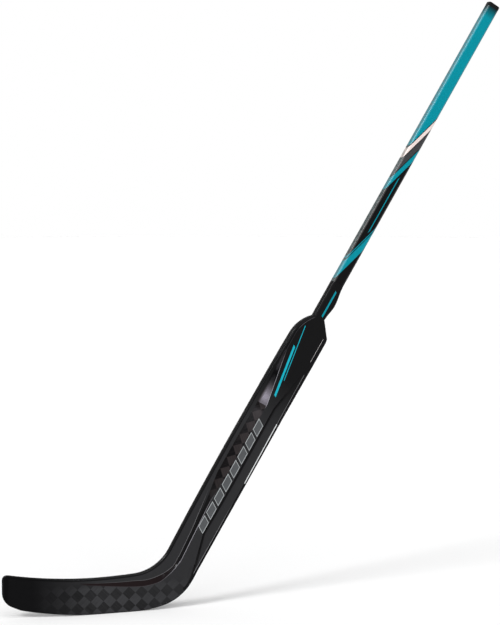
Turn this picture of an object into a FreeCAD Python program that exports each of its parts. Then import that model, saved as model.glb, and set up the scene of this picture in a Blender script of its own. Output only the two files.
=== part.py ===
import FreeCAD, Part
import Sketcher
import os
from math import acos, atan2, cos, pi, radians, sin, sqrt, tan

# Goal stick for ice hockey: a hollow carbon shaft glued into a moulded paddle and blade.
# Millimetres. The sole stands on z = 0 with the origin at the middle of its flat stretch,
# +X runs from toe to heel, +Z is up and the striking face looks along -Y.
doc = FreeCAD.newDocument("goal_stick")
sheet = doc.addObject("Spreadsheet::Sheet", "Sizes")

SIZES = {
    # Shaft
    "lie_angle": 59,
    "stick_length": 1506,
    "shaft_width": 28,
    "shaft_depth": 20,
    "shaft_corner": 5,
    "shaft_wall": 1.8,
    # Butt end plug
    "cap_length": 10,
    "cap_round": 3,
    "spigot_length": 36,
    "spigot_wall": 2,
    "rib_start": 3,
    "rib_length": 3,
    "rib_pitch": 8,
    "rib_count": 4,
    "rib_height": 1,
    "plug_clearance": 0.1,
    # Tenon that carries the paddle on the shaft
    "neck_length": 84,
    "tenon_length": 150,
    "tenon_width": 22,
    "tenon_depth": 15.6,
    "tenon_corner": 3,
    "tenon_wall": 1.8,
    "tenon_plug_length": 30,
    "shaft_step": 10,
    "bond": 0.2,
    # Paddle outline, off the shaft's centre line and from the heel line
    "paddle_length": 671,
    "heel_half": 43,
    "toe_half": 40,
    "toe_belly": 4,
    "heel_shoulder": 35,
    "toe_shoulder": 60,
    "toe_shoulder_drop": 28,
    "neck_flare": 5.5,
    "flare_place": 46,
    "neck_land": 1,
    "edge_round": 3.5,
    # Blade outline
    "blade_length": 380,
    "heel_reach": 136.4,
    "sole_flat": 70,
    "sole_trim": 0.3,
    "toe_rocker": 855,
    "heel_rocker": 300,
    "heel_radius": 112,
    "throat_radius": 98,
    "blade_height": 80,
    "top_hollow": 1200,
    "hollow_reach": 183.4,
    "toe_low_corner": 33,
    "toe_ramp": 23,
    "ramp_reach": 38,
    "toe_top_corner": 11,
    "toe_curve": 1000,
    "curve_reach": 166.4,
    "tip_round": 3.4,
    "tip_edge": 2.7,
    # Moulded skin, and the foam, webs and rib that fill it
    "skin": 1.1,
    "edge_wall": 3,
    "heel_wall": 3,
    "hollow_lift": 19,
    "hollow_toe": 18,
    "board_heel": 7.6,
    "board_toe": 5,
    "head_core_cover": 40,
    "cell_foot": 110,
    "web": 1.2,
    "web_toe_place": 6,
    "web_heel_place": -11,
    "heel_block_reach": 96,
    "blade_rib_level": 40,
}

# Key sections of the moulding. place is measured along its toe-side edge from the named end,
# foot and crest across from that edge, heel_foot from the heel-side edge, and
# ridge, flange and heel_flange are half thicknesses.
COLUMNS = ("place", "foot", "crest", "heel_foot", "ridge", "flange", "heel_flange")
SECTIONS = {
    "shoulder": ("top", 59, 7, 10, 6, 10, 9.2, 9.2),
    "ridge_head": ("top", 189, 14, 36, 30, 10, 6, 6),
    "ridge_mid": ("heel", 300, 13.5, 34, 29, 9.8, 5.8, 5.8),
    "ridge_waist": ("heel", 238, 22, 30.5, 29.5, 9.6, 5.7, 5.7),
    "ridge_low": ("heel", 170, 29, 33.5, 31, 9.3, 5.6, 5.6),
    "throat": ("heel", 103, 32, 35.5, 13, 8.8, 5.5, 5.8),
    "heel": ("heel", 79, 32.5, 36, 6.5, 8, 5.3, 7.4),
    "turn": ("heel", 50, 25, 37, 6, 7, 5.1, 6.7),
    "root": ("heel", 11, 16, 29, 6, 6.2, 4.9, 5.9),
    "blade": ("heel", -66, 12.5, 18, 6, 5.5, 4.8, 5.2),
    "fade": ("heel", -112, 10, 13, 6, 5, 4.9, 4.8),
    "tip": ("toe", 17, 4.5, 6, 4.5, 3.8, 3.7, 3.6),
}

cells = list(SIZES.items())
for name, (end, *values) in SECTIONS.items():
    cells += [(f"{name}_{column}", value) for column, value in zip(COLUMNS, values)]
for row, (alias, value) in enumerate(cells, 1):
    sheet.set(f"A{row}", alias)
    sheet.set(f"B{row}", str(value))
    sheet.setAlias(f"B{row}", alias)
doc.recompute()


def size(alias):
    return float(sheet.get(alias))


# Outline of the moulding in the XZ plane
lie = radians(size("lie_angle"))
along = FreeCAD.Vector(cos(lie), 0, sin(lie))
to_toe = FreeCAD.Vector(-sin(lie), 0, cos(lie))
heel_point = FreeCAD.Vector(size("heel_reach"), 0, 0)
toe_x = size("heel_reach") - size("blade_length")
flat_end = size("sole_flat") / 2
shaft_half = size("shaft_width") / 2
neck_foot = size("paddle_length") + size("heel_shoulder")
neck_top = neck_foot + size("neck_length")
shoulder_foot = size("paddle_length") - size("toe_shoulder_drop")
shoulder_top = shoulder_foot + size("toe_shoulder")


def on_paddle(reach, offset):
    """Point up the paddle from the heel line and off the shaft's centre line, toe side positive."""
    return heel_point + along * reach + to_toe * (size("heel_half") + offset)


# The throat is an arc that touches the paddle's toe-side edge and the hollow top of the blade
throat_radius = size("throat_radius")
hollow_x = size("heel_reach") - size("hollow_reach")
hollow_centre = FreeCAD.Vector(hollow_x, 0, size("blade_height") + size("top_hollow"))
throat_line = on_paddle(0, size("toe_half") + throat_radius) - hollow_centre
centre_gap = size("top_hollow") - throat_radius
half_chord = sqrt(throat_line.dot(along) ** 2 - throat_line.dot(throat_line) + centre_gap ** 2)
throat_start = -throat_line.dot(along) - half_chord
throat_centre = on_paddle(throat_start, size("toe_half") + throat_radius)
root_angle = atan2(throat_centre.x - hollow_x, hollow_centre.z - throat_centre.z)
root_x = throat_centre.x + throat_radius * sin(root_angle)
root_place = throat_start - throat_radius * (lie - root_angle)

# The heel is an arc that touches the rocker of the sole and the paddle's heel-side edge
rocker, heel_radius = size("heel_rocker"), size("heel_radius")
edge_gap = rocker * cos(lie) + (size("heel_reach") - flat_end) * sin(lie) - heel_radius
rocker_angle = lie - acos(edge_gap / (rocker - heel_radius))
heel_centre = FreeCAD.Vector(flat_end + (rocker - heel_radius) * sin(rocker_angle), 0,
                             rocker - (rocker - heel_radius) * cos(rocker_angle))

# The toe's two corners touch its upright end, the ramp that lifts off the toe rocker, and the hollow top
ramp, ramp_x = radians(size("toe_ramp")), toe_x + size("ramp_reach")
ramp_z = size("toe_rocker") - sqrt(size("toe_rocker") ** 2 - (ramp_x + flat_end) ** 2)
low_radius, top_radius = size("toe_low_corner"), size("toe_top_corner")
low_x, top_x = toe_x + low_radius, toe_x + top_radius
low_z = ramp_z + (low_radius - (low_x - ramp_x) * sin(ramp)) / cos(ramp)
top_z = hollow_centre.z - sqrt((size("top_hollow") + top_radius) ** 2 - (top_x - hollow_x) ** 2)


def blade_top(x):
    tangent_x = top_x + (hollow_x - top_x) * top_radius / (size("top_hollow") + top_radius)
    if x < tangent_x:
        return top_z + sqrt(max(top_radius ** 2 - (x - top_x) ** 2, 0))
    return hollow_centre.z - sqrt(size("top_hollow") ** 2 - (x - hollow_x) ** 2)


def blade_sole(x):
    if x < low_x - low_radius * sin(ramp):
        return low_z - sqrt(max(low_radius ** 2 - (x - low_x) ** 2, 0))
    if x < ramp_x:
        return ramp_z + (ramp_x - x) * tan(ramp)
    if x < -flat_end:
        return size("toe_rocker") - sqrt(size("toe_rocker") ** 2 - (x + flat_end) ** 2)
    if x > flat_end:
        return rocker - sqrt(rocker ** 2 - (x - flat_end) ** 2)
    return 0


def heel_edge(direction):
    """Where a line from the throat's centre meets the heel-side edge, the heel or the sole."""
    def meet(centre, radius):
        start = throat_centre - centre
        middle = -start.dot(direction)
        return throat_centre + direction * (middle + sqrt(middle ** 2 - start.dot(start) + radius ** 2))
    point = meet(heel_centre, heel_radius)
    if (point - heel_centre).dot(along) > 0:
        reach = (throat_centre - heel_point).dot(to_toe) / direction.dot(to_toe)
        point = throat_centre - direction * reach
    if point.x < flat_end + rocker * sin(rocker_angle):
        point = meet(FreeCAD.Vector(flat_end, 0, rocker), rocker)
    if point.x < flat_end:
        point = throat_centre - direction * (throat_centre.z / direction.z)
    return point


def smooth(share):
    share = min(max(share, 0), 1)
    return share * share * (3 - 2 * share)


def toe_side(reach):
    """Offset of the paddle's toe-side edge: a rounded shoulder, then a slight belly."""
    if reach > shoulder_foot:
        rise = size("toe_half") - shaft_half
        radius = (size("toe_shoulder") ** 2 + rise ** 2) / (2 * rise)
        climb = min(reach, shoulder_top) - shoulder_foot
        return size("toe_half") - radius + sqrt(radius ** 2 - climb ** 2)
    middle = (shoulder_foot + throat_start) / 2
    return size("toe_half") + size("toe_belly") * (1 - ((reach - middle) / (shoulder_foot - middle)) ** 2)


def heel_side(reach):
    """Offset of the paddle's heel-side edge: a neck with a swell, then a straight shoulder and edge."""
    flare = size("flare_place")
    below = neck_top - reach - flare
    swell = smooth(1 + below / flare) - smooth(below / (size("neck_length") - flare))
    collar = shaft_half + size("neck_flare") * swell
    share = min(max((neck_foot - reach) / size("heel_shoulder"), 0), 1)
    return -(collar + (size("heel_half") - collar) * share)


# Sections of the moulding, from the neck down the paddle, round the heel and out to the toe
toe_place = root_place - root_x + toe_x
ENDS = {"top": (size("paddle_length"), -1), "heel": (0, 1), "toe": (toe_place, 1)}
half_depth = size("shaft_depth") / 2
neck_flat = size("shaft_corner") + size("neck_land")
neck_key = {"foot": neck_flat, "crest": neck_flat + size("neck_land"), "heel_foot": neck_flat,
            "ridge": half_depth, "flange": half_depth, "heel_flange": half_depth,
            "round": size("shaft_corner")}
KEYS = [{"place": reach, **neck_key} for reach in (neck_top, neck_foot)]
for name, (end, *values) in SECTIONS.items():
    key = {column: size(f"{name}_{column}") for column in COLUMNS}
    datum, sense = ENDS[end]
    key["place"] = datum + sense * key["place"]
    key["round"] = size("edge_round")
    KEYS.append(key)


def relief(place):
    """Section sizes at any place, between the two key sections on either side of it."""
    for upper, lower in zip(KEYS, KEYS[1:]):
        if place >= lower["place"]:
            share = min((place - lower["place"]) / (upper["place"] - lower["place"]), 1)
            return {column: lower[column] + (upper[column] - lower[column]) * share for column in lower}
    return dict(KEYS[-1])


def paddle_section(reach):
    return {"edge": on_paddle(reach, toe_side(reach)), "far": on_paddle(reach, heel_side(reach)),
            "bow": 0, "thin": 1, **relief(reach)}


def throat_section(angle):
    direction = FreeCAD.Vector(sin(angle), 0, -cos(angle))
    place = throat_start - throat_radius * (lie - angle)
    far = heel_edge(direction) - FreeCAD.Vector(0, 0, size("sole_trim")) * smooth((lie - angle) / lie)
    return {"edge": throat_centre + direction * throat_radius, "far": far,
            "bow": 0, "thin": 1, **relief(place)}


def blade_section(x):
    bend = max(size("heel_reach") - size("curve_reach") - x, 0)
    bow = size("toe_curve") - sqrt(size("toe_curve") ** 2 - bend ** 2)
    tip = min((x - toe_x) / size("tip_round"), 1)
    thin = max(sqrt(1 - (1 - tip) ** 2), size("tip_edge") / 2 / size("tip_ridge"))
    return {"edge": FreeCAD.Vector(x, 0, blade_top(x)),
            "far": FreeCAD.Vector(x, 0, blade_sole(x) - size("sole_trim")),
            "bow": bow, "thin": thin, **relief(root_place - root_x + x)}


def spread(first, last, count):
    return [first + (last - first) * step / count for step in range(count + 1)]


def between(places, high, low):
    """Places from high to low, with those two as the ends."""
    inside = [place for place in places if low < place < high]
    return sorted({high, low, *inside}, reverse=True)


# Steps between sections along each stretch
NECK_STEPS, SHOULDER_STEPS, PADDLE_STEPS = 7, 8, 6
THROAT_STEPS, BLADE_STEPS, TOE_STEPS = 9, 9, 10
paddle_places = spread(neck_top, neck_foot, NECK_STEPS)
paddle_places += spread(shoulder_top, shoulder_foot, SHOULDER_STEPS)
paddle_places += spread(shoulder_foot, throat_start, PADDLE_STEPS)
paddle_places += [key["place"] for key in KEYS]
heel_sections = [throat_section(angle) for angle in spread(lie, root_angle, THROAT_STEPS)]
blade_sections = [blade_section(x) for x in spread(root_x, ramp_x, BLADE_STEPS)[1:]]
toe_places = [low_x - low_radius * sin(angle) for angle in spread(ramp, pi / 2, TOE_STEPS)]


def place_points(section, points, sign):
    across = (section["far"] - section["edge"]).normalize()
    return [section["edge"] + across * reach + FreeCAD.Vector(0, section["bow"] + sign * rise, 0)
            for reach, rise in points]


# An edge's round takes at most this share of the half thickness, in this many steps
ROUND_SHARE = 0.75
ROUND_STEPS = 4


def half_wire(section, sign):
    """One half of a section: rounded edges, a flange on each side and the ridge between its walls."""
    width = (section["far"] - section["edge"]).Length
    flange = section["flange"] * section["thin"]
    ridge = section["ridge"] * section["thin"]
    heel_flange = section["heel_flange"] * section["thin"]
    heel_foot = width - section["heel_foot"]
    near_round = min(section["round"], ROUND_SHARE * flange)
    far_round = min(section["round"], ROUND_SHARE * heel_flange)
    rounds = [(1 - cos(angle), 1 - sin(angle)) for angle in spread(0, pi / 2, ROUND_STEPS)]
    near = [(near_round * across, flange - near_round * down) for across, down in rounds]
    far = [(width - far_round * across, heel_flange - far_round * down) for across, down in rounds[::-1]]
    walls = [(section["foot"], flange), (section["crest"], ridge),
             (heel_foot - size("heel_wall"), ridge), (heel_foot, heel_flange)]
    spots = place_points(section, [(0, 0), *near, *walls, *far, (width, 0)], sign)
    return Part.makePolygon(spots + spots[:1])


def ring(section, half):
    """Closed outline of the space inside the skin, from the points of its one half."""
    spots = place_points(section, half, -1) + place_points(section, half[::-1], 1)
    return Part.makePolygon(spots + spots[:1])


def ridge_ring(section, inset):
    """Inside of the paddle, which follows the ridge and both flanges."""
    width = (section["far"] - section["edge"]).Length
    flange, ridge, heel_flange = (section[part] - inset for part in ("flange", "ridge", "heel_flange"))
    wall = size("edge_wall") + inset - size("skin")
    foot, crest = section["foot"] + inset / 2, section["crest"] + inset / 2
    heel_foot = width - section["heel_foot"] - inset / 2
    return ring(section, [(wall, flange), (foot, flange), (crest, ridge),
                          (heel_foot - size("heel_wall"), ridge), (heel_foot, heel_flange),
                          (width - wall, heel_flange)])


def board_half(section, inset):
    """Half of a section of the foam board in the heel and blade, which thins towards the toe."""
    width = (section["far"] - section["edge"]).Length
    share = max(root_x - section["edge"].x, 0) / (root_x - toe_x - size("hollow_toe"))
    board = size("board_heel") + (size("board_toe") - size("board_heel")) * share
    depth = board / 2 + size("skin") - inset
    wall = size("edge_wall") + inset - size("skin")
    return [(wall, depth), (width - wall, depth)]


def loft(wires, ruled):
    return Part.makeLoft(wires, True, ruled)


def outer_form(sign):
    """One half of the moulding: ruled along the paddle and toe, flowing through the heel and blade."""
    paddle = [paddle_section(reach) for reach in between(paddle_places, neck_top, throat_start)]
    toe = [blade_section(x) for x in between(toe_places, ramp_x, toe_x)]
    runs = ((paddle, True), (heel_sections + blade_sections, False), (toe, True))
    solids = [loft([half_wire(section, sign) for section in run], ruled) for run, ruled in runs]
    return solids[0].fuse(solids[1:])


def inner_form(top, toe_end, inset):
    """Space inside the skins: it follows the paddle's ridge, then holds a flat board to the toe."""
    paddle = [paddle_section(reach) for reach in between(paddle_places, top, throat_start)]
    sides = [place_points(section, board_half(section, inset), -1) for section in heel_sections]
    outline = [near for near, far in sides] + [far for near, far in sides[::-1]]
    sheet_face = Part.Face(Part.makePolygon(outline + outline[:1]))
    heel = sheet_face.extrude(FreeCAD.Vector(0, -2 * outline[0].y, 0))
    toe = [blade_section(x) for x in between(toe_places, ramp_x, toe_end)[1:]]
    blade = heel_sections[-1:] + blade_sections + toe
    paddle_loft = loft([ridge_ring(section, inset) for section in paddle], True)
    blade_loft = loft([ring(section, board_half(section, inset)) for section in blade], True)
    return paddle_loft.fuse([heel, blade_loft])


def solid_feature(name, shape):
    feature = doc.addObject("Part::Feature", name)
    feature.Shape = shape
    return feature


hollow_top = shoulder_foot + size("hollow_lift")
hollow_end = toe_x + size("hollow_toe")
bond = size("bond")
front_form = solid_feature("front_form", outer_form(-1))
back_form = solid_feature("back_form", outer_form(1))
hollow_form = solid_feature("hollow_form", inner_form(hollow_top, hollow_end, size("skin")))
core_form = solid_feature("core_form", inner_form(hollow_top - bond, hollow_end + bond, size("skin") + bond))


# Blocks in the stick's own directions, which divide what fills the moulding and reach past it by ROOM
ROOM = 100
turn = FreeCAD.Rotation(FreeCAD.Vector(0, 1, 0), 90 - size("lie_angle"))
NECK_TOP = "(Sizes.paddle_length + Sizes.heel_shoulder + Sizes.neck_length)"
CELL_HEAD = f"({NECK_TOP} - Sizes.tenon_length - Sizes.head_core_cover)"
BLADE_END = "(Sizes.heel_reach - Sizes.heel_block_reach)"


def amount(expression):
    return float(sheet.evalExpression(expression.replace("Sizes.", "")))


def block(name, length, width, height):
    box = doc.addObject("Part::Box", name)
    box.setExpression("Length", length)
    box.setExpression("Width", width)
    box.setExpression("Height", height)
    return box


def paddle_block(name, low, high, toe_offset, width, depth=f"{ROOM}"):
    """Block across the paddle from low to high, its toe side at an offset from the centre line."""
    box = block(name, width, depth, f"{high} - ({low})")
    corner = on_paddle(amount(low), amount(toe_offset)) - FreeCAD.Vector(0, amount(depth) / 2, 0)
    box.Placement = FreeCAD.Placement(corner, turn)
    return box


def blade_block(name, left, right, low, high):
    """Upright block across the blade from left to right and from low to high."""
    box = block(name, f"{right} - ({left})", f"{ROOM}", f"{high} - ({low})")
    box.Placement.Base = FreeCAD.Vector(amount(left), -ROOM / 2, amount(low))
    return box


def common(name, *parts):
    piece = doc.addObject("Part::MultiCommon", name)
    piece.Shapes = list(parts)
    return piece


# Foam and webs of the paddle: a head round the tenon, then three cells between two webs
def paddle_cell(name, toe_offset, width):
    cell = paddle_block(f"{name}_block", "Sizes.cell_foot", CELL_HEAD, toe_offset, width)
    return common(name, core_form, cell)


TENON_REACH = f"({NECK_TOP} - Sizes.tenon_length - Sizes.bond)"
socket = paddle_block("tenon_socket", TENON_REACH, f"{NECK_TOP} + {ROOM}",
                      "Sizes.tenon_width / 2 + Sizes.bond", "Sizes.tenon_width + 2 * Sizes.bond",
                      "Sizes.tenon_depth + 2 * Sizes.bond")
head_block = paddle_block("head_block", f"{CELL_HEAD} + Sizes.bond", NECK_TOP, f"{ROOM}", f"2 * {ROOM}")
head_form = common("head_form", core_form, head_block)
head_core = doc.addObject("Part::Cut", "paddle_head_core")
head_core.Base = head_form
head_core.Tool = socket

toe_side_core = paddle_cell("toe_side_core", f"{ROOM}",
                            f"{ROOM} - (Sizes.web_toe_place + Sizes.web + Sizes.bond)")
toe_side_web = paddle_cell("toe_side_web", "Sizes.web_toe_place + Sizes.web", "Sizes.web")
spine_core = paddle_cell("spine_core", "Sizes.web_toe_place - Sizes.bond",
                         "Sizes.web_toe_place - Sizes.web_heel_place - Sizes.web - 2 * Sizes.bond")
heel_side_web = paddle_cell("heel_side_web", "Sizes.web_heel_place + Sizes.web", "Sizes.web")
heel_side_core = paddle_cell("heel_side_core", "Sizes.web_heel_place - Sizes.bond", f"{ROOM}")

# Foam of the heel and blade, with a stiffening rib along the blade
heel_block = common("heel_block", core_form,
                    paddle_block("heel_upper_block", f"-2 * {ROOM}", "Sizes.cell_foot - Sizes.bond",
                                 f"4 * {ROOM}", f"8 * {ROOM}"),
                    blade_block("heel_side_block", f"{BLADE_END} + Sizes.bond", f"{BLADE_END} + 4 * {ROOM}",
                                f"-{ROOM}", f"4 * {ROOM}"))


def blade_cell(name, low, high):
    left = f"{BLADE_END} - Sizes.blade_length"
    return common(name, core_form, blade_block(f"{name}_block", left, BLADE_END, low, high))


rib_top = "(Sizes.blade_rib_level + Sizes.web)"
blade_rib = blade_cell("blade_rib", "Sizes.blade_rib_level", rib_top)
blade_upper_core = blade_cell("blade_upper_core", f"{rib_top} + Sizes.bond", f"{rib_top} + 2 * {ROOM}")
blade_lower_core = blade_cell("blade_lower_core", f"-{ROOM}", "Sizes.blade_rib_level - Sizes.bond")

# The two skins, with room for the foam and the tenon, and with the sole cut flat
sole_block = blade_block("sole_block", f"-5 * {ROOM}", f"5 * {ROOM}", f"-{ROOM}", "0")
removed = doc.addObject("Part::MultiFuse", "removed")
removed.Shapes = [hollow_form, socket, sole_block]


def skin(name, form):
    piece = doc.addObject("Part::Cut", name)
    piece.Base = form
    piece.Tool = removed
    return piece


front_skin = skin("front_skin", front_form)
back_skin = skin("back_skin", back_form)


# Shaft pieces are drawn on their own XY plane, which is square to the shaft
def shaft_body(name, reach):
    body = doc.addObject("PartDesign::Body", name)
    body.Placement = FreeCAD.Placement(on_paddle(amount(reach), 0), turn)
    return body


def origin_feature(body, role):
    return next(feature for feature in body.Origin.OriginFeatures if feature.Role == role)


def level_sketch(body, name, height):
    """Empty sketch square to the shaft, at a height above the body's XY plane."""
    sketch = body.newObject("Sketcher::SketchObject", name)
    sketch.AttachmentSupport = [(origin_feature(body, "XY_Plane"), "")]
    sketch.MapMode = "FlatFace"
    sketch.setExpression("AttachmentOffset.Base.z", height)
    return sketch


def measure(sketch, kind, ends, expression):
    index = sketch.addConstraint(Sketcher.Constraint(kind, *ends, amount(expression)))
    sketch.setExpression(f"Constraints[{index}]", expression)


def draw_sides(sketch, ends):
    """Four lines round the axis, the first and third of them level."""
    for side, (start, end) in enumerate(ends):
        sketch.addGeometry(Part.LineSegment(FreeCAD.Vector(*start, 0), FreeCAD.Vector(*end, 0)), False)
        sketch.addConstraint(Sketcher.Constraint(("Horizontal", "Vertical")[side % 2], side))


def rectangle(body, name, height, width, depth):
    sketch = level_sketch(body, name, height)
    half_width, half_height = amount(width) / 2, amount(depth) / 2
    corners = [(-half_width, -half_height), (half_width, -half_height), (half_width, half_height),
               (-half_width, half_height)]
    draw_sides(sketch, zip(corners, corners[1:] + corners[:1]))
    for side in range(4):
        sketch.addConstraint(Sketcher.Constraint("Coincident", side, 2, (side + 1) % 4, 1))
    sketch.addConstraint(Sketcher.Constraint("Symmetric", 0, 1, 2, 1, -1, 1))
    measure(sketch, "DistanceX", (0, 1, 0, 2), width)
    measure(sketch, "DistanceY", (1, 1, 1, 2), depth)
    return sketch


def rounded_rectangle(body, name, height, width, depth, corner):
    sketch = level_sketch(body, name, height)
    half_width, half_height, radius = amount(width) / 2, amount(depth) / 2, amount(corner)
    inner_x, inner_y = half_width - radius, half_height - radius
    draw_sides(sketch, [((-inner_x, -half_height), (inner_x, -half_height)),
                        ((half_width, -inner_y), (half_width, inner_y)),
                        ((inner_x, half_height), (-inner_x, half_height)),
                        ((-half_width, inner_y), (-half_width, -inner_y))])
    centres = [(inner_x, -inner_y), (inner_x, inner_y), (-inner_x, inner_y), (-inner_x, -inner_y)]
    for quarter, centre in enumerate(centres):
        circle = Part.Circle(FreeCAD.Vector(*centre, 0), FreeCAD.Vector(0, 0, 1), radius)
        start = (quarter - 1) * pi / 2
        sketch.addGeometry(Part.ArcOfCircle(circle, start, start + pi / 2), False)
    for side in range(4):
        arc, following = 4 + side, (side + 1) % 4
        sketch.addConstraint(Sketcher.Constraint("Tangent", side, 2, arc, 1))
        sketch.addConstraint(Sketcher.Constraint("Tangent", arc, 2, following, 1))
    for arc in (5, 6, 7):
        sketch.addConstraint(Sketcher.Constraint("Equal", 4, arc))
    sketch.addConstraint(Sketcher.Constraint("Symmetric", 7, 3, 5, 3, -1, 1))
    measure(sketch, "DistanceX", (3, 1, 1, 1), width)
    measure(sketch, "DistanceY", (0, 1, 2, 1), depth)
    measure(sketch, "Radius", (4,), corner)
    return sketch


def extrude(body, kind, name, sketch, length, reverse=False):
    feature = body.newObject(f"PartDesign::{kind}", name)
    feature.Profile = sketch
    feature.setExpression("Length", length)
    feature.Reversed = reverse
    doc.recompute()
    return feature


# Shaft: a hollow tube whose lower end steps down to the tenon
TUBE_LENGTH = f"(Sizes.stick_length - Sizes.cap_length - {NECK_TOP})"
BORE_WIDTH = "(Sizes.shaft_width - 2 * Sizes.shaft_wall)"
BORE_DEPTH = "(Sizes.shaft_depth - 2 * Sizes.shaft_wall)"
BORE_CORNER = "(Sizes.shaft_corner - Sizes.shaft_wall)"
TENON_BORE_WIDTH = "(Sizes.tenon_width - 2 * Sizes.tenon_wall)"
TENON_BORE_DEPTH = "(Sizes.tenon_depth - 2 * Sizes.tenon_wall)"
TENON_BORE_CORNER = "(Sizes.tenon_corner - Sizes.tenon_wall)"

shaft_tube = shaft_body("shaft_tube", NECK_TOP)
tube = rounded_rectangle(shaft_tube, "tube_outside", "0", "Sizes.shaft_width", "Sizes.shaft_depth",
                         "Sizes.shaft_corner")
extrude(shaft_tube, "Pad", "tube_run", tube, TUBE_LENGTH)
tenon = rounded_rectangle(shaft_tube, "tenon_outside", "0", "Sizes.tenon_width", "Sizes.tenon_depth",
                          "Sizes.tenon_corner")
extrude(shaft_tube, "Pad", "tenon_run", tenon, "Sizes.tenon_length", True)
bore = rounded_rectangle(shaft_tube, "tube_inside", TUBE_LENGTH, BORE_WIDTH, BORE_DEPTH, BORE_CORNER)
extrude(shaft_tube, "Pocket", "tube_bore", bore, f"{TUBE_LENGTH} - Sizes.shaft_step")
tenon_bore = rounded_rectangle(shaft_tube, "tenon_inside", "Sizes.shaft_step", TENON_BORE_WIDTH,
                               TENON_BORE_DEPTH, TENON_BORE_CORNER)
extrude(shaft_tube, "Pocket", "tenon_bore", tenon_bore, "Sizes.shaft_step + Sizes.tenon_length")

# Foam plug that closes the tenon's lower end
tenon_plug = shaft_body("tenon_plug", f"{NECK_TOP} - Sizes.tenon_length")
plug = rounded_rectangle(tenon_plug, "plug_outside", "0", f"{TENON_BORE_WIDTH} - 2 * Sizes.bond",
                         f"{TENON_BORE_DEPTH} - 2 * Sizes.bond", TENON_BORE_CORNER)
extrude(tenon_plug, "Pad", "plug_run", plug, "Sizes.tenon_plug_length")

# Butt end plug: a rounded cap on a hollow spigot whose ribs grip the flats of the tube's bore
butt_end_plug = shaft_body("butt_end_plug", "Sizes.stick_length - Sizes.cap_length")
cap = rounded_rectangle(butt_end_plug, "cap_outside", "0", "Sizes.shaft_width", "Sizes.shaft_depth",
                        "Sizes.shaft_corner")
cap_run = extrude(butt_end_plug, "Pad", "cap_run", cap, "Sizes.cap_length")
cap_height = amount("Sizes.cap_length")
cap_edges = [f"Edge{number}" for number, edge in enumerate(cap_run.Shape.Edges, 1)
             if min(vertex.Z for vertex in edge.Vertexes) > cap_height / 2]
cap_round = butt_end_plug.newObject("PartDesign::Fillet", "cap_round")
cap_round.Base = (cap_run, cap_edges)
cap_round.setExpression("Radius", "Sizes.cap_round")
doc.recompute()
RIB_WIDTH = f"({BORE_WIDTH} - 2 * Sizes.plug_clearance)"
RIB_DEPTH = f"({BORE_DEPTH} - 2 * Sizes.plug_clearance)"
SPIGOT_WIDTH = f"({RIB_WIDTH} - 2 * Sizes.rib_height)"
SPIGOT_DEPTH = f"({RIB_DEPTH} - 2 * Sizes.rib_height)"
spigot = rectangle(butt_end_plug, "spigot_outside", "0", SPIGOT_WIDTH, SPIGOT_DEPTH)
extrude(butt_end_plug, "Pad", "spigot_run", spigot, "Sizes.spigot_length", True)
broad_rib = rectangle(butt_end_plug, "broad_rib", "-Sizes.rib_start", f"{BORE_WIDTH} - 2 * {BORE_CORNER}",
                      RIB_DEPTH)
narrow_rib = rectangle(butt_end_plug, "narrow_rib", "-Sizes.rib_start", RIB_WIDTH,
                       f"{BORE_DEPTH} - 2 * {BORE_CORNER}")
ribs = [extrude(butt_end_plug, "Pad", f"{rib.Name}_run", rib, "Sizes.rib_length", True)
        for rib in (broad_rib, narrow_rib)]
rib_row = butt_end_plug.newObject("PartDesign::LinearPattern", "rib_row")
rib_row.Originals = ribs
rib_row.Direction = (origin_feature(butt_end_plug, "Z_Axis"), [""])
rib_row.Reversed = True
rib_row.setExpression("Occurrences", "Sizes.rib_count")
rib_row.setExpression("Length", "Sizes.rib_pitch * (Sizes.rib_count - 1)")
butt_end_plug.Tip = rib_row
doc.recompute()
cavity = rectangle(butt_end_plug, "spigot_inside", "-Sizes.spigot_length",
                   f"{SPIGOT_WIDTH} - 2 * Sizes.spigot_wall", f"{SPIGOT_DEPTH} - 2 * Sizes.spigot_wall")
extrude(butt_end_plug, "Pocket", "spigot_hollow", cavity, "Sizes.spigot_length", True)

pieces = [butt_end_plug, shaft_tube, tenon_plug, front_skin, back_skin, head_core,
          toe_side_core, toe_side_web, spine_core, heel_side_web, heel_side_core,
          heel_block, blade_upper_core, blade_rib, blade_lower_core]
doc.recompute()
for feature in doc.Objects:
    if {"Invalid", "Error"} & set(feature.State):
        raise RuntimeError(f"{feature.Label} failed: {feature.State}")
for piece in pieces:
    piece.Label = piece.Name
    if piece.Shape.isNull() or not piece.Shape.isValid() or len(piece.Shape.Solids) != 1:
        raise RuntimeError(f"{piece.Label} is not one valid solid")

os.makedirs("parts", exist_ok=True)
for piece in pieces:
    piece.Shape.exportStep(f"parts/{piece.Label}.step")
    print(f"{piece.Label}: {piece.Shape.Volume / 1000:.1f} cm3")
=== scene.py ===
import math

import bmesh
import bpy
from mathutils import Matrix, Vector
from mathutils.geometry import intersect_point_line


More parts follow.
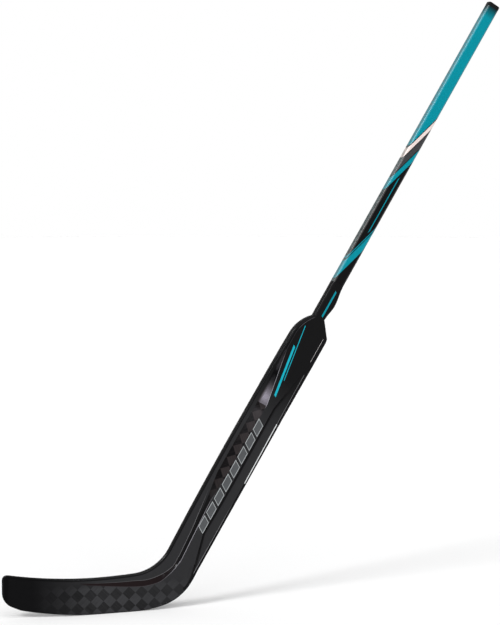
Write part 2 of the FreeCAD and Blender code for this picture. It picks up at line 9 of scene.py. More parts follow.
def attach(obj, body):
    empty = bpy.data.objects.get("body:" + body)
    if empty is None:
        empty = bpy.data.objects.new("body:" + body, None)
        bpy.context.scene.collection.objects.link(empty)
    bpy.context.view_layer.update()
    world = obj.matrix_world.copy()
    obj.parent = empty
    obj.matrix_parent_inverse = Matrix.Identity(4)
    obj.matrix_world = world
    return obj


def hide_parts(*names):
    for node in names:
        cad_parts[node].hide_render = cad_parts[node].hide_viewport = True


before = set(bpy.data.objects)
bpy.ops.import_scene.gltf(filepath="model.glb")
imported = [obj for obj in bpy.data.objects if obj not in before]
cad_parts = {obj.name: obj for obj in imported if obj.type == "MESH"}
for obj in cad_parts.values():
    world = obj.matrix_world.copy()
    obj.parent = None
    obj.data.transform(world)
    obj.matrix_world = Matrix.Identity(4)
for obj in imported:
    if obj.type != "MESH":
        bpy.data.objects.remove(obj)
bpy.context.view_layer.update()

# Foam cores: rigid polyurethane foam blocks that fill the shaft's lower end, the paddle, the heel and
# the blade. They are cut to shape, laid in the mould and glued to the carbon that is cured around them,
# so nothing of them shows on a whole stick.


def linear(hex_colour):
    """Turn an sRGB hex colour into the linear RGBA that shader sockets take."""
    channels = [int(hex_colour[place:place + 2], 16) / 255 for place in (1, 3, 5)]
    return [c / 12.92 if c <= 0.04045 else ((c + 0.055) / 1.055) ** 2.4 for c in channels] + [1.0]


def add(tree, kind, inputs=None, **settings):
    """Add a node with its settings, and set or link its input sockets."""
    made = tree.nodes.new(kind)
    for name, value in settings.items():
        setattr(made, name, value)
    for socket, value in (inputs or {}).items():
        if isinstance(value, bpy.types.NodeSocket):
            tree.links.new(value, made.inputs[socket])
        else:
            made.inputs[socket].default_value = value
    return made


def new_material(name):
    """Make a material with an empty node tree and its output node."""
    material = bpy.data.materials.new(name)
    material.use_nodes = True
    material.node_tree.nodes.clear()
    return material, material.node_tree, add(material.node_tree, "ShaderNodeOutputMaterial")


def finish_nodes(names, material):
    """Give the named CAD nodes one material in all their slots."""
    for name in names:
        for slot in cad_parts[name].material_slots:
            slot.material = material


FOAM_CELL = 0.0012

# Rigid polyurethane foam, cut with a blade: matt and cream, with fine open cells.
foam, tree, output = new_material("rigid_polyurethane_foam")
place = add(tree, "ShaderNodeTexCoord").outputs["Object"]
cells = add(tree, "ShaderNodeTexVoronoi", {"Vector": place, "Scale": 1 / FOAM_CELL})
tint = add(tree, "ShaderNodeMix", {"Factor": cells.outputs["Distance"], "A": linear("#CDBE92"),
                                   "B": linear("#E6DAB4")}, data_type="RGBA")
pores = add(tree, "ShaderNodeBump", {"Height": cells.outputs["Distance"], "Strength": 0.4,
                                     "Distance": FOAM_CELL / 4})
surface = add(tree, "ShaderNodeBsdfPrincipled", {"Base Color": tint.outputs["Result"], "Roughness": 0.9,
                                                 "Normal": pores.outputs["Normal"]})
tree.links.new(surface.outputs["BSDF"], output.inputs["Surface"])

finish_nodes(("tenon_plug", "paddle_head_core", "toe_side_core", "spine_core", "heel_side_core",
              "heel_block", "blade_upper_core", "blade_lower_core"), foam)

# Webs and rib: thin strips of cured carbon that stand between the foam cores, from skin to skin, and
# stiffen the paddle and the blade. They are laid up with the foam and cured with the skins.
LIE = math.radians(59)
TOW = 0.020

# Cured carbon weave as it leaves the press: dark grey, satin, with the tows crossing at 45 degrees.
pressed_carbon, tree, output = new_material("pressed_carbon")
place = add(tree, "ShaderNodeTexCoord").outputs["Object"]
turned = add(tree, "ShaderNodeMapping", {"Vector": place, "Location": (0, TOW / 2, 0),
                                         "Rotation": (0, LIE + math.pi / 4, 0), "Scale": (1, 0, 1)})
checks = add(tree, "ShaderNodeTexChecker", {"Vector": turned.outputs["Vector"], "Scale": 1 / TOW,
                                            "Color1": linear("#3A3A3C"), "Color2": linear("#28282A")})
surface = add(tree, "ShaderNodeBsdfPrincipled", {"Base Color": checks.outputs["Color"], "Roughness": 0.45,
                                                 "Specular IOR Level": 0.3})
tree.links.new(surface.outputs["BSDF"], output.inputs["Surface"])

finish_nodes(("toe_side_web", "heel_side_web", "blade_rib"), pressed_carbon)

# Skins: the front and back halves of the paddle, heel and blade, carbon cloth pressed over the foam in
# a two-part mould. The cloth shows through the lacquer on the flat faces and the upper paddle is sprayed
# black. The round edges and steep faces are black, partly resin and partly painted shade, the grooves and
# low walls carry painted shade, and the toe is painted darker as painted shade.
HEEL = 0.1364
PADDLE_HALF = 0.043
MERGE_REACH = 1e-6
CREASE_ANGLE = math.radians(8)
STRIP_BEND = math.radians(45)
ROUND_FACET = 0.0012
ROUND_BEND = math.radians(40)
ROUND_REACH = 0.004
FACING = 0.5
EDGE_ON = 0.3
STEEP = 0.93
WALL_TILT = 0.06
GROOVE_WALL = 0.985
SOLE_SIDE = -0.55


def merged_copy(node, name):
    """Copy a CAD node as a new piece that stands for it, with its loose triangles merged."""
    shape = bmesh.new()
    shape.from_mesh(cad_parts[node].data)
    bmesh.ops.remove_doubles(shape, verts=shape.verts, dist=MERGE_REACH)
    mesh = bpy.data.meshes.new(name)
    piece = bpy.data.objects.new(name, mesh)
    bpy.context.scene.collection.objects.link(piece)
    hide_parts(node)
    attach(piece, "root")
    return shape, piece


def smooth_rounds(shape):
    """Shade the narrow strips of rounded edges smooth, and keep the creases between faces crisp."""
    for face in shape.faces:
        face.smooth = True
    for edge in shape.edges:
        strips = [face.calc_area() / max(side.calc_length() for side in face.edges) < ROUND_FACET
                  for face in edge.link_faces]
        bend = edge.calc_face_angle(0)
        edge.smooth = bend < CREASE_ANGLE or (any(strips) and bend < STRIP_BEND)


def even_normals(piece):
    """Let broad faces stay flat up to the rounded edges next to them."""
    piece.modifiers.new("even_normals", "WEIGHTED_NORMAL").keep_sharp = True


def outer_edges(shape, side):
    """Edges of the stick's outline, where a skin meets the other one, with the way each looks out."""
    reached = [face for face in shape.faces if side * face.normal.y > FACING]
    outside = set(reached)
    while reached:
        for edge in reached.pop().edges:
            if edge.calc_face_angle(math.pi) < ROUND_BEND:
                beyond = set(edge.link_faces) - outside
                outside |= beyond
                reached += beyond
    found = []
    for edge in shape.edges:
        rims = [face for face in edge.link_faces if face in outside]
        if len(rims) == 1 and abs(rims[0].normal.y) < EDGE_ON:
            found.append((edge, rims[0].normal.copy()))
    return found


def write_gaps(shape, name, edges):
    """Store on each corner point its distance from the nearest of some edges, seen along Y."""
    flat = Vector((1, 0, 1))
    spans = [[vertex.co * flat for vertex in edge.verts] for edge in edges]
    layer = shape.verts.layers.float[name]
    for vertex in shape.verts:
        spot = vertex.co * flat
        shares = [min(max(intersect_point_line(spot, *span)[1], 0), 1) for span in spans]
        vertex[layer] = min((spot - start.lerp(end, share)).length
                            for (start, end), share in zip(spans, shares))


def mark_relief(shape, side):
    """Store how far each place is from the outline, the grooves and the ridge's crests, and its slope."""
    for name in ("outline_gap", "edge_gap", "groove_gap", "crest_gap"):
        shape.verts.layers.float.new(name)
    for name in ("steep", "wall"):
        shape.faces.layers.float.new(name)
    outline = outer_edges(shape, side)
    write_gaps(shape, "outline_gap", [edge for edge, outward in outline])
    write_gaps(shape, "edge_gap", [edge for edge, outward in outline if outward.z > SOLE_SIDE])
    outline_gap = shape.verts.layers.float["outline_gap"]
    walls, sloped = set(), set()
    for face in shape.faces:
        lean = side * face.normal.y
        if lean > EDGE_ON and all(vertex[outline_gap] > ROUND_REACH for vertex in face.verts):
            if face.normal.z > WALL_TILT:
                walls.add(face)
            elif face.normal.z < -WALL_TILT and lean < GROOVE_WALL:
                sloped.add(face)
    sloped |= walls
    lines = {"groove_gap": [], "crest_gap": []}
    for edge in shape.edges:
        run = (edge.verts[1].co - edge.verts[0].co).normalized()
        slopes = [face.normal for face in edge.link_faces if face in sloped]
        level = [face for face in edge.link_faces if abs(face.normal.z) <= WALL_TILT]
        if slopes and level and abs(run.dot(slopes[0] * Vector((1, 0, 1)))) < slopes[0].xz.length / 2:
            kind = "crest_gap" if edge.calc_face_angle_signed(0) > 0 else "groove_gap"
            lines[kind].append(edge)
    for kind, edges in lines.items():
        write_gaps(shape, kind, edges)
    # Steep faces are painted black further on: partly resin on the round edges, partly painted shade.
    steep, wall = [shape.faces.layers.float[name] for name in ("steep", "wall")]
    for face in shape.faces:
        face[steep] = float(side * face.normal.y < STEEP)
        face[wall] = float(face in walls)


def along_stick(tree):
    """Give each place in the CAD frame, and the same place measured up the paddle from the heel."""
    place = add(tree, "ShaderNodeTexCoord").outputs["Object"]
    turned = add(tree, "ShaderNodeMapping", {"Vector": place, "Rotation": (0, LIE, 0), "Location": (
        -HEEL * math.cos(LIE), 0, HEEL * math.sin(LIE) - PADDLE_HALF)})
    return place, turned.outputs["Vector"]


def where_all(tree, share, *others):
    """Give the share of each place that lies in all of some zones."""
    for other in others:
        share = add(tree, "ShaderNodeMath", {0: share, 1: other}, operation="MULTIPLY").outputs["Value"]
    return share


def painted_over(tree, colour, coats):
    """Lay coats over a colour, each on its own share of the surface."""
    for share, coat in coats:
        colour = add(tree, "ShaderNodeMix", {"Factor": share, "A": colour, "B": coat},
                     data_type="RGBA").outputs["Result"]
    return colour


PEEL_RIPPLE = 0.005
PEEL_DEPTH = 0.0002
PEEL_STRENGTH = 0.05


def orange_peel(tree, place):
    """Give the faint ripple that a sprayed clear coat dries with."""
    ripple = add(tree, "ShaderNodeTexNoise", {"Vector": place, "Scale": 1 / PEEL_RIPPLE})
    return add(tree, "ShaderNodeBump", {"Height": ripple.outputs["Fac"], "Strength": PEEL_STRENGTH,
                                        "Distance": PEEL_DEPTH}).outputs["Normal"]


# Lacquered carbon: spread-tow cloth under a clear lacquer that is thicker on the round edges, with black
# edges that are partly resin and partly painted shade, painted shade in the grooves, on the walls and
# at the toe, painted highlights as fine light lines, a painted reflection on the upper wall, and stripes
# in teal and silver, with a white one along the heel-side edge that is a painted highlight.
TEAL = "#008291"
BLACK = "#070708"
lacquered_carbon, tree, output = new_material("lacquered_carbon")
black = linear(BLACK)
place, stick = along_stick(tree)
axes = add(tree, "ShaderNodeSeparateXYZ", {"Vector": stick})
up_paddle, to_toe = axes.outputs["X"], axes.outputs["Z"]
axes = add(tree, "ShaderNodeSeparateXYZ", {"Vector": place})
to_heel, height = axes.outputs["X"], axes.outputs["Z"]
edge_gap, groove_gap, crest_gap, steep, wall = [
    add(tree, "ShaderNodeAttribute", attribute_name=name).outputs["Fac"]
    for name in ("edge_gap", "groove_gap", "crest_gap", "steep", "wall")]

# Zones where one finish, painted shade or painted highlight gives way to another: what each is measured
# along, from where to where, and the share that it has at either end.
zones = {}
for name, measure, start, end, first, last in (
        ("walled", to_heel, -0.09, -0.06, 0, 1),
        ("paddle_cloth", up_paddle, 0.085, 0.090, 0, 1),
        ("squares_up_heel", up_paddle, 0.12, -0.04, 0, 1),
        ("squares_from_toe", to_heel, -0.20, -0.08, 0, 1),
        ("squares_below_groove", height, 0.070, 0.056, 0, 1),
        ("above_foot", groove_gap, 0, 0.006, 0, 1),
        ("head_spray", up_paddle, 0.43, 0.55, 0, 1),
        # The toe's fade to near black is a painted shade.
        ("toe_shade", to_heel, -0.04, -0.18, 0, 0.92),
        ("edge_band", edge_gap, 0.0062, 0.0058, 0, 1),
        ("heel_side", to_toe, 0, -0.004, 0, 1),
        ("groove_shade", groove_gap, 0.0036, 0.0030, 0, 1),
        ("on_blade", up_paddle, 0.10, 0.02, 0, 1),
        ("low_paddle", up_paddle, 0.26, 0.20, 0, 1),
        ("crest_highlight", crest_gap, 0.0009, 0.0006, 0, 1),
        ("lines_from_toe", to_heel, -0.08, 0.18, 0, 1),
        ("lines_up_heel", up_paddle, 0.03, 0.09, 0.25, 1)):
    zones[name] = add(tree, "ShaderNodeMapRange", {
        "Value": measure, "From Min": start, "From Max": end, "To Min": first,
        "To Max": last}).outputs["Result"]
wall = where_all(tree, wall, zones["walled"])
toe_side = add(tree, "ShaderNodeMath", {0: to_toe, 1: 0.0}, operation="GREATER_THAN").outputs["Value"]
below = add(tree, "ShaderNodeMath", {0: groove_gap, 1: crest_gap}, operation="LESS_THAN").outputs["Value"]

# The cloth's squares stand on their corners, along the blade on the blade and along the paddle above it.
# Each square's fibres run across its neighbours'. They are 0.007 mm in truth, drawn as bundles of 0.8 mm.
BUNDLE = 0.0008
BUNDLE_RUN = 0.030
SQUARE_CHANCE = 0.25
FIBRE_NOISE = (0.3, 0.7)
FIBRE_TONE = 0.2
tones = []
for source, shift in ((place, 0), (stick, 1)):
    turned = add(tree, "ShaderNodeMapping", {"Vector": source, "Location": (shift, 0.5, 0), "Rotation": (
        0, math.pi / 4, 0), "Scale": (1 / TOW, 0, 1 / TOW)}).outputs["Vector"]
    checks = add(tree, "ShaderNodeTexChecker", {"Vector": turned, "Scale": 1.0}).outputs["Fac"]
    square = add(tree, "ShaderNodeVectorMath", {0: turned}, operation="FLOOR")
    chance = add(tree, "ShaderNodeTexWhiteNoise", {"Vector": square.outputs["Vector"]})
    mixed = add(tree, "ShaderNodeMix", {"Factor": SQUARE_CHANCE, "A": checks, "B": chance.outputs["Value"]})
    threads = []
    for stretch in ((TOW / BUNDLE, 1, TOW / BUNDLE_RUN), (TOW / BUNDLE_RUN, 1, TOW / BUNDLE)):
        run = add(tree, "ShaderNodeMapping", {"Vector": turned, "Scale": stretch})
        threads.append(add(tree, "ShaderNodeTexNoise", {"Vector": run.outputs["Vector"], "Scale": 1.0,
                                                        "Detail": 1.0}).outputs["Fac"])
    fibres = add(tree, "ShaderNodeMix", {"Factor": checks, "A": threads[0], "B": threads[1]})
    change = add(tree, "ShaderNodeMapRange", {
        "Value": fibres.outputs["Result"], "From Min": FIBRE_NOISE[0], "From Max": FIBRE_NOISE[1],
        "To Min": -FIBRE_TONE, "To Max": FIBRE_TONE})
    tones.append(add(tree, "ShaderNodeMath", {0: mixed.outputs["Result"], 1: change.outputs["Result"]},
                     operation="ADD", use_clamp=True).outputs["Value"])
tone = add(tree, "ShaderNodeMix", {"Factor": zones["paddle_cloth"], "A": tones[0],
                                   "B": tones[1]}).outputs["Result"]

# They show on the blade below its groove, and fade out towards the toe and up the heel.
PLAIN_CLOTH = 0.42
weave = tone
for zone in ("squares_up_heel", "squares_from_toe", "squares_below_groove"):
    weave = add(tree, "ShaderNodeMix", {"Factor": zones[zone], "A": PLAIN_CLOTH,
                                        "B": weave}).outputs["Result"]
cloth = add(tree, "ShaderNodeMix", {"Factor": weave, "A": linear("#161617"), "B": linear("#343436")},
            data_type="RGBA").outputs["Result"]

# The ridge's upper wall is bare cloth painted darker than the flats, a painted shade. Its lighter squares a
# little, and the wall above the topmost tow in full, carry a painted reflection of the soft box in lilac
# grey, laid over a faint metallic gleam. The crests carry a painted highlight: a fine light line at the
# head and round the heel.
BARE_REACH = ((0.20, 0.0), (0.28, 1.0), (0.498, 1.0), (0.542, 0.0))
CREST_HIGHLIGHT_REACH = ((0.20, 1.0), (0.26, 0.0), (0.472, 0.0), (0.482, 1.0), (0.56, 1.0), (0.605, 0.1),
                (0.66, 0.1), (0.67, 0.3))
TOPMOST_TOW = 0.479
SQUARE_SHINE = 0.08
TOW_GLEAM = 0.8
reaches = []
for stops in (BARE_REACH, CREST_HIGHLIGHT_REACH):
    ramp = add(tree, "ShaderNodeValToRGB", {"Fac": up_paddle})
    ramp.color_ramp.elements.remove(ramp.color_ramp.elements[1])
    ramp.color_ramp.elements[0].color = [stops[0][1]] * 3 + [1.0]
    for spot, amount in stops:
        ramp.color_ramp.elements.new(spot).color = [amount] * 3 + [1.0]
    reaches.append(ramp.outputs["Color"])
bare_reach, crest_highlight_reach = reaches
bare_wall = where_all(tree, wall, bare_reach, toe_side)
topmost = add(tree, "ShaderNodeMath", {0: up_paddle, 1: TOPMOST_TOW},
              operation="GREATER_THAN").outputs["Value"]
tow = add(tree, "ShaderNodeMath", {0: tone, 1: topmost}, operation="MAXIMUM").outputs["Value"]
shaded_wall_cloth = add(tree, "ShaderNodeMix", {"Factor": tow, "A": black, "B": linear("#241F1E")},
                 data_type="RGBA").outputs["Result"]
# shine: a painted reflection, lilac grey in the base colour, which also drives the metallic gleam.
shine = add(tree, "ShaderNodeMath", {0: tone, 1: SQUARE_SHINE}, operation="MULTIPLY").outputs["Value"]
shine = add(tree, "ShaderNodeMath", {0: shine, 1: topmost}, operation="MAXIMUM").outputs["Value"]
shine = where_all(tree, shine, bare_wall, zones["above_foot"])
gleam = add(tree, "ShaderNodeMapRange", {"Value": shine, "To Max": TOW_GLEAM}).outputs["Result"]

# Black along the outline's band, and painted shade along the heel-side groove, on the low walls and in a
# band at their foot.
FOOT_SHADE_ON_PADDLE = 0.0042
FOOT_SHADE_ON_BLADE = 0.0003
groove_shade = where_all(tree, zones["groove_shade"], zones["heel_side"], below)
wall_shade = add(tree, "ShaderNodeMix", {"Factor": zones["on_blade"], "A": black, "B": linear("#1C1516")},
                 data_type="RGBA").outputs["Result"]
low_wall = add(tree, "ShaderNodeMath", {0: wall, 1: bare_wall}, operation="SUBTRACT").outputs["Value"]
foot_shade_reach = add(tree, "ShaderNodeMapRange", {"Value": zones["on_blade"], "To Min": FOOT_SHADE_ON_PADDLE,
                                        "To Max": FOOT_SHADE_ON_BLADE}).outputs["Result"]
past_foot_shade = add(tree, "ShaderNodeMath", {0: groove_gap, 1: foot_shade_reach}, operation="SUBTRACT").outputs["Value"]
foot_shade = add(tree, "ShaderNodeMath", {0: past_foot_shade, 1: 0.0}, operation="LESS_THAN").outputs["Value"]
foot_shade = where_all(tree, foot_shade, zones["low_paddle"], toe_side, below)

# Fine light lines, all painted highlights: on the crests, at the foot of the low wall, and at the inner
# edge of the heel-side band.
HAIRLINE_HALF = 0.0004
BAND_HIGHLIGHT_GAP = 0.0065
foot_highlight = add(tree, "ShaderNodeMath", {0: past_foot_shade, 1: HAIRLINE_HALF, 2: HAIRLINE_HALF},
                operation="COMPARE").outputs["Value"]
band_highlight = add(tree, "ShaderNodeMath", {0: edge_gap, 1: BAND_HIGHLIGHT_GAP, 2: HAIRLINE_HALF},
                operation="COMPARE").outputs["Value"]
off_wall = add(tree, "ShaderNodeMath", {0: 1.0, 1: wall}, operation="SUBTRACT").outputs["Value"]
crest_highlight = where_all(tree, zones["crest_highlight"], wall, crest_highlight_reach, zones["lines_from_toe"],
                       zones["lines_up_heel"])
foot_highlight = where_all(tree, foot_highlight, zones["low_paddle"], toe_side, below, zones["lines_from_toe"],
                      off_wall)
band_highlight = where_all(tree, band_highlight, zones["low_paddle"], zones["heel_side"])

coats = [(band_highlight, linear("#7A7A7C")), (zones["head_spray"], black), (bare_wall, shaded_wall_cloth),
         (shine, linear("#5C595E")), (zones["toe_shade"], black), (low_wall, wall_shade), (steep, black),
         (groove_shade, black), (foot_shade, wall_shade), (zones["edge_band"], black),
         (foot_highlight, linear("#6C6C6E")), (crest_highlight, linear("#929096"))]

# Printed stripes with slanted ends, but the two edgewise ones along the heel-side edge are a painted
# highlight: across which axis, middle, width, from where to where, and colour.
END_SLANT = -0.6
HEAD_SLANT = -0.15
EDGE_SLANT = -0.0122
leaning, rising, edgewise = [
    add(tree, "ShaderNodeMath", {0: crossed, 1: slant, 2: axis}, operation="MULTIPLY_ADD").outputs["Value"]
    for crossed, slant, axis in ((to_toe, END_SLANT, up_paddle), (up_paddle, HEAD_SLANT, to_toe),
                                 (up_paddle, EDGE_SLANT, to_toe))]
for axis, middle, width, low_end, high_end, coat in (
        (rising, -0.0745, 0.0050, 0.506, 0.612, "#11A0B1"),
        (rising, -0.0812, 0.0016, 0.546, 0.662, "#11A0B1"),
        (to_toe, -0.0040, 0.0040, 0.712, 0.775, TEAL),
        (to_toe, -0.0320, 0.0008, 0.630, 0.688, "#A8A4A4"),
        # The two edgewise lines are a painted highlight on the heel-side edge's round, pale and then grey.
        (edgewise, -0.0416, 0.0020, 0.331, 0.477, "#C9CCCC"),
        (edgewise, -0.0416, 0.0008, 0.477, 0.600, "#6C6C6E")):
    inside = add(tree, "ShaderNodeMath", {0: axis, 1: middle, 2: width / 2}, operation="COMPARE")
    along = add(tree, "ShaderNodeMath", {0: leaning, 1: (low_end + high_end) / 2,
                                         2: (high_end - low_end) / 2}, operation="COMPARE")
    coats.append((where_all(tree, inside.outputs["Value"], along.outputs["Value"]), linear(coat)))

# A row of slanted bars on the ridge, silver with a grey middle.
BAR_PITCH = 0.0345
BARS_FROM = 0.170
BARS_TO = 0.446
BAR_GAP = 0.007
BAR_HALF = 0.0085
BAR_RIM = 0.0013
reach = add(tree, "ShaderNodeMath", {0: leaning, 1: BARS_FROM}, operation="SUBTRACT")
wave = add(tree, "ShaderNodeMath", {0: reach.outputs["Value"], 1: BAR_PITCH / 2}, operation="PINGPONG")
wave = add(tree, "ShaderNodeMath", {0: wave.outputs["Value"], 1: BAR_GAP / 2}, operation="SUBTRACT")
aside = add(tree, "ShaderNodeMath", {0: to_toe}, operation="ABSOLUTE")
aside = add(tree, "ShaderNodeMath", {0: BAR_HALF, 1: aside.outputs["Value"]}, operation="SUBTRACT")
depth = add(tree, "ShaderNodeMath", {0: wave.outputs["Value"], 1: aside.outputs["Value"]},
            operation="MINIMUM")
along = add(tree, "ShaderNodeMath", {0: leaning, 1: (BARS_FROM + BARS_TO) / 2,
                                     2: (BARS_TO - BARS_FROM) / 2}, operation="COMPARE")
for rim, coat in ((0.0, "#9EA2A3"), (BAR_RIM, "#4C4E50")):
    bar = add(tree, "ShaderNodeMath", {0: depth.outputs["Value"], 1: rim}, operation="GREATER_THAN")
    coats.append((where_all(tree, bar.outputs["Value"], along.outputs["Value"]), linear(coat)))

# The lacquer is thicker on the round edges, and thin on the walls, on the darkened toe and on the round
# edges of the sprayed black head.
FLAT_LACQUER = 0.2
EDGE_LACQUER = 0.3
LACQUER_LOSS = -0.14
thickness = add(tree, "ShaderNodeMapRange", {"Value": steep, "To Min": FLAT_LACQUER,
                                             "To Max": EDGE_LACQUER}).outputs["Result"]
head_rim = where_all(tree, steep, zones["head_spray"])
for share in (wall, zones["toe_shade"], head_rim):
    thickness = add(tree, "ShaderNodeMath", {0: share, 1: LACQUER_LOSS, 2: thickness},
                    operation="MULTIPLY_ADD", use_clamp=True).outputs["Value"]
surface = add(tree, "ShaderNodeBsdfPrincipled", {
    "Base Color": painted_over(tree, cloth, coats), "Metallic": gleam, "Roughness": 0.2,
    "Specular IOR Level": 0.0, "Coat Weight": thickness, "Coat Roughness": 0.12,
    "Coat Normal": orange_peel(tree, place)})
tree.links.new(surface.outputs["BSDF"], output.inputs["Surface"])

for node, side in (("front_skin", -1), ("back_skin", 1)):
    shape, piece = merged_copy(node, node + "_moulding")
    smooth_rounds(shape)
    mark_relief(shape, side)
    shape.to_mesh(piece.data)
    shape.free()
    piece.data.materials.append(lacquered_carbon)
    even_normals(piece)

# Shaft: a hollow carbon tube of rounded rectangular section, whose lower end is glued into the paddle's
# neck. It is sprayed teal from the butt down, with slanted bands, and black from there to the neck.
BANDS = ((0.0, BLACK), (0.842, TEAL), (0.884, BLACK), (0.892, TEAL), (0.898, BLACK), (1.068, TEAL),
         (1.096, BLACK), (1.101, "#3A3A3C"), (1.143, BLACK), (1.149, "#DCCBC6"), (1.174, BLACK),
         (1.180, TEAL))
BAND_SLANT = 3.3
SHAFT_SPAN = 1.6
SHAFT_FLAT = 0.98

# Two-pack paint in slanted bands under a glossy clear coat that is thicker on the round corners.
shaft_paint, tree, output = new_material("shaft_paint")
place, stick = along_stick(tree)
axes = add(tree, "ShaderNodeSeparateXYZ", {"Vector": stick})
up_shaft, to_toe = axes.outputs["X"], axes.outputs["Z"]
slanted = add(tree, "ShaderNodeMath", {0: to_toe, 1: BAND_SLANT, 2: up_shaft},
              operation="MULTIPLY_ADD").outputs["Value"]
share = add(tree, "ShaderNodeMath", {0: slanted, 1: SHAFT_SPAN}, operation="DIVIDE")
bands = add(tree, "ShaderNodeValToRGB", {"Fac": share.outputs["Value"]})
bands.color_ramp.interpolation = "CONSTANT"
bands.color_ramp.elements.remove(bands.color_ramp.elements[1])
for start, colour in BANDS[1:]:
    bands.color_ramp.elements.new(start / SHAFT_SPAN).color = linear(colour)
bands.color_ramp.elements[0].color = linear(BANDS[0][1])

# A thin teal line along the black part, a grey grip grain on the narrow sides, and a dark end at the plug.
LINE_ACROSS = -0.002
LINE_HALF = 0.001
LINE_MIDDLE = 0.985
LINE_REACH = 0.068
NARROW_FROM = 0.0130
NARROW_FULL = 0.0138
GRIP_GRAIN = 0.005
GRIP_NOISE = (0.35, 0.65)
GRIP_SHARE = (0.2, 0.9)
END_FROM = 1.470
END_FULL = 1.494
END_SHARE = 0.9
FLAT_COAT = 0.15
CORNER_COAT = 0.8
line = add(tree, "ShaderNodeMath", {0: to_toe, 1: LINE_ACROSS, 2: LINE_HALF}, operation="COMPARE")
reach = add(tree, "ShaderNodeMath", {0: slanted, 1: LINE_MIDDLE, 2: LINE_REACH}, operation="COMPARE")
aside = add(tree, "ShaderNodeMath", {0: to_toe}, operation="ABSOLUTE")
narrow = add(tree, "ShaderNodeMapRange", {"Value": aside.outputs["Value"], "From Min": NARROW_FROM,
                                          "From Max": NARROW_FULL})
grain = add(tree, "ShaderNodeTexNoise", {"Vector": place, "Scale": 1 / GRIP_GRAIN, "Detail": 2})
grain = add(tree, "ShaderNodeMapRange", {
    "Value": grain.outputs["Fac"], "From Min": GRIP_NOISE[0], "From Max": GRIP_NOISE[1],
    "To Min": GRIP_SHARE[0], "To Max": GRIP_SHARE[1]})
end = add(tree, "ShaderNodeMapRange", {"Value": up_shaft, "From Min": END_FROM, "From Max": END_FULL,
                                       "To Max": END_SHARE})
coats = ((where_all(tree, line.outputs["Value"], reach.outputs["Value"]), linear(TEAL)),
         (where_all(tree, narrow.outputs["Result"], grain.outputs["Result"]), linear("#667070")),
         (end.outputs["Result"], linear(BLACK)))
corner = add(tree, "ShaderNodeAttribute", attribute_name="corner").outputs["Fac"]
thickness = add(tree, "ShaderNodeMapRange", {"Value": corner, "To Min": FLAT_COAT, "To Max": CORNER_COAT})
surface = add(tree, "ShaderNodeBsdfPrincipled", {
    "Base Color": painted_over(tree, bands.outputs["Color"], coats), "Roughness": 0.5,
    "Specular IOR Level": 0.0, "Coat Weight": thickness.outputs["Result"], "Coat Roughness": 0.3,
    "Coat Normal": orange_peel(tree, place)})
tree.links.new(surface.outputs["BSDF"], output.inputs["Surface"])

shape, shaft = merged_copy("shaft_tube", "painted_shaft")
smooth_rounds(shape)
across = Vector((-math.sin(LIE), 0, math.cos(LIE)))
corner_layer = shape.faces.layers.float.new("corner")
for face in shape.faces:
    face[corner_layer] = float(max(abs(face.normal.y), abs(face.normal.dot(across))) < SHAFT_FLAT)
shape.to_mesh(shaft.data)
shape.free()
shaft.data.materials.append(shaft_paint)
even_normals(shaft)

# Butt end plug: a black rubber cap on a hollow ribbed spigot, moulded in one piece. It is pushed into the
# open end of the shaft, where the ribs hold it.
RUBBER_GRAIN = 0.0008

# Moulded rubber: black and matt, with a fine grain from the mould.
rubber, tree, output = new_material("moulded_rubber")
place = add(tree, "ShaderNodeTexCoord").outputs["Object"]
grain = add(tree, "ShaderNodeTexNoise", {"Vector": place, "Scale": 1 / RUBBER_GRAIN, "Detail": 3})
relief = add(tree, "ShaderNodeBump", {"Height": grain.outputs["Fac"], "Strength": 0.3,
                                      "Distance": RUBBER_GRAIN / 4})
surface = add(tree, "ShaderNodeBsdfPrincipled", {"Base Color": linear("#0B0B0C"), "Roughness": 0.6,
                                                 "Specular IOR Level": 0.1,
                                                 "Normal": relief.outputs["Normal"]})
tree.links.new(surface.outputs["BSDF"], output.inputs["Surface"])

finish_nodes(("butt_end_plug",), rubber)

# Stage: a white studio with a broad round floor that takes a soft shadow, two broad lamps, a small soft
# box and the photograph's view.
FLOOR_RADIUS = 12
FLOOR_SIDES = 96
FLOOR_LIFT = 0.03
ROOM_LIGHT = 0.5
floor_shape = bmesh.new()
bmesh.ops.create_circle(floor_shape, cap_ends=True, segments=FLOOR_SIDES, radius=FLOOR_RADIUS)
floor_mesh = bpy.data.meshes.new("floor")
floor_shape.to_mesh(floor_mesh)
floor_shape.free()
floor = bpy.data.objects.new("floor", floor_mesh)
bpy.context.scene.collection.objects.link(floor)


def white_rays(tree):
    """Give 1 for rays that show the studio, in the view and in reflections, and 0 for its light."""
    rays = add(tree, "ShaderNodeLightPath")
    seen = rays.outputs["Is Camera Ray"]
    for kind in ("Is Glossy Ray", "Is Transmission Ray"):
        seen = add(tree, "ShaderNodeMath", {0: seen, 1: rays.outputs[kind]},
                   operation="MAXIMUM").outputs["Value"]
    return seen


# Floor paint: matt and pale, lifted to white in the view so that only the shadow shows.
floor_paint, tree, output = new_material("floor_paint")
lift = add(tree, "ShaderNodeMath", {0: white_rays(tree), 1: FLOOR_LIFT}, operation="MULTIPLY")
surface = add(tree, "ShaderNodeBsdfPrincipled", {
    "Base Color": linear("#EDEDED"), "Roughness": 0.9, "Specular IOR Level": 0.0,
    "Emission Color": (1, 1, 1, 1), "Emission Strength": lift.outputs["Value"]})
tree.links.new(surface.outputs["BSDF"], output.inputs["Surface"])
floor_mesh.materials.append(floor_paint)

# The room: white in the view and in reflections, and half as bright for the light that it gives.
world = bpy.data.worlds.new("studio")
world.use_nodes = True
bpy.context.scene.world = world
tree = world.node_tree
tree.nodes.clear()
level = add(tree, "ShaderNodeMapRange", {"Value": white_rays(tree), "To Min": ROOM_LIGHT, "To Max": 1.0})
sky = add(tree, "ShaderNodeBackground", {"Color": (1, 1, 1, 1), "Strength": level.outputs["Result"]})
add(tree, "ShaderNodeOutputWorld", {"Surface": sky.outputs["Background"]})


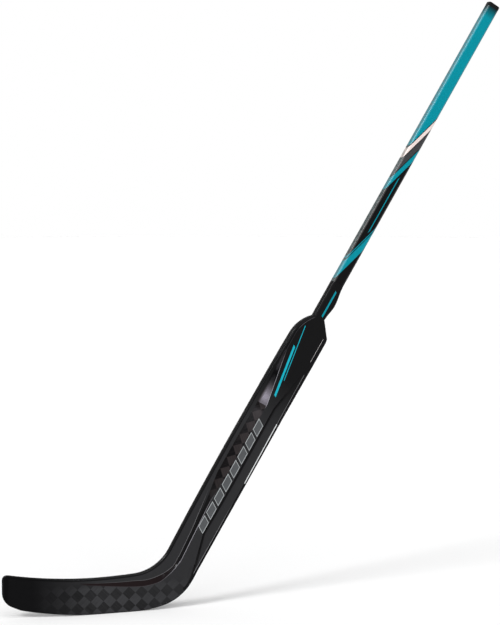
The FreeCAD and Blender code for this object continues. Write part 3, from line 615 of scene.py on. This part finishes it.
def sun(name, azimuth, elevation, spread, strength):
    """Hang a soft lamp at an azimuth from straight in front, positive to the right, and an elevation."""
    lamp = bpy.data.lights.new(name, "SUN")
    lamp.energy = strength
    lamp.angle = math.radians(spread)
    hung = bpy.data.objects.new(name, lamp)
    turn, lift = math.radians(azimuth), math.radians(elevation)
    towards = Vector((math.sin(turn) * math.cos(lift), -math.cos(turn) * math.cos(lift), math.sin(lift)))
    hung.rotation_euler = towards.to_track_quat("Z", "Y").to_euler()
    bpy.context.scene.collection.objects.link(hung)


sun("key_lamp", 0, 49, 80, 1.3)
sun("side_lamp", -63, 40, 16, 1.7)

# A small soft box straight in front, whose reflection lies on the bare wall at the paddle's head.
soft_box = bpy.data.lights.new("soft_box", "AREA")
soft_box.shape = "RECTANGLE"
soft_box.size = 0.4
soft_box.size_y = 0.25
soft_box.energy = 6
soft_box.color = (0.92, 0.90, 1.0)
hung = bpy.data.objects.new("soft_box", soft_box)
hung.location = (0.36, -3.0, 0.65)
hung.rotation_euler = (math.pi / 2, 0, 0)
hung.visible_camera = False
bpy.context.scene.collection.objects.link(hung)

# The photograph's view: 4.5 m off, 18 degrees to the left of square on and 6 degrees above.
VIEW_TARGET = Vector((0.3054, 0.0006, 0.6422))
VIEW_DISTANCE = 4.5
VIEW_TURN = math.radians(-18)
VIEW_LIFT = math.radians(6)
SENSOR = 36.0
FOCAL_PIXELS = 2068.97
LONG_SIDE_PIXELS = 625
camera_data = bpy.data.cameras.new("photo_view")
camera_data.sensor_width = SENSOR
camera_data.lens = FOCAL_PIXELS / LONG_SIDE_PIXELS * SENSOR
camera = bpy.data.objects.new("photo_view", camera_data)
away = Vector((math.sin(VIEW_TURN) * math.cos(VIEW_LIFT), -math.cos(VIEW_TURN) * math.cos(VIEW_LIFT),
               math.sin(VIEW_LIFT)))
camera.location = VIEW_TARGET + away * VIEW_DISTANCE
camera.rotation_euler = away.to_track_quat("Z", "Y").to_euler()
bpy.context.scene.collection.objects.link(camera)
bpy.context.scene.camera = camera
bpy.context.scene.view_settings.view_transform = "Standard"
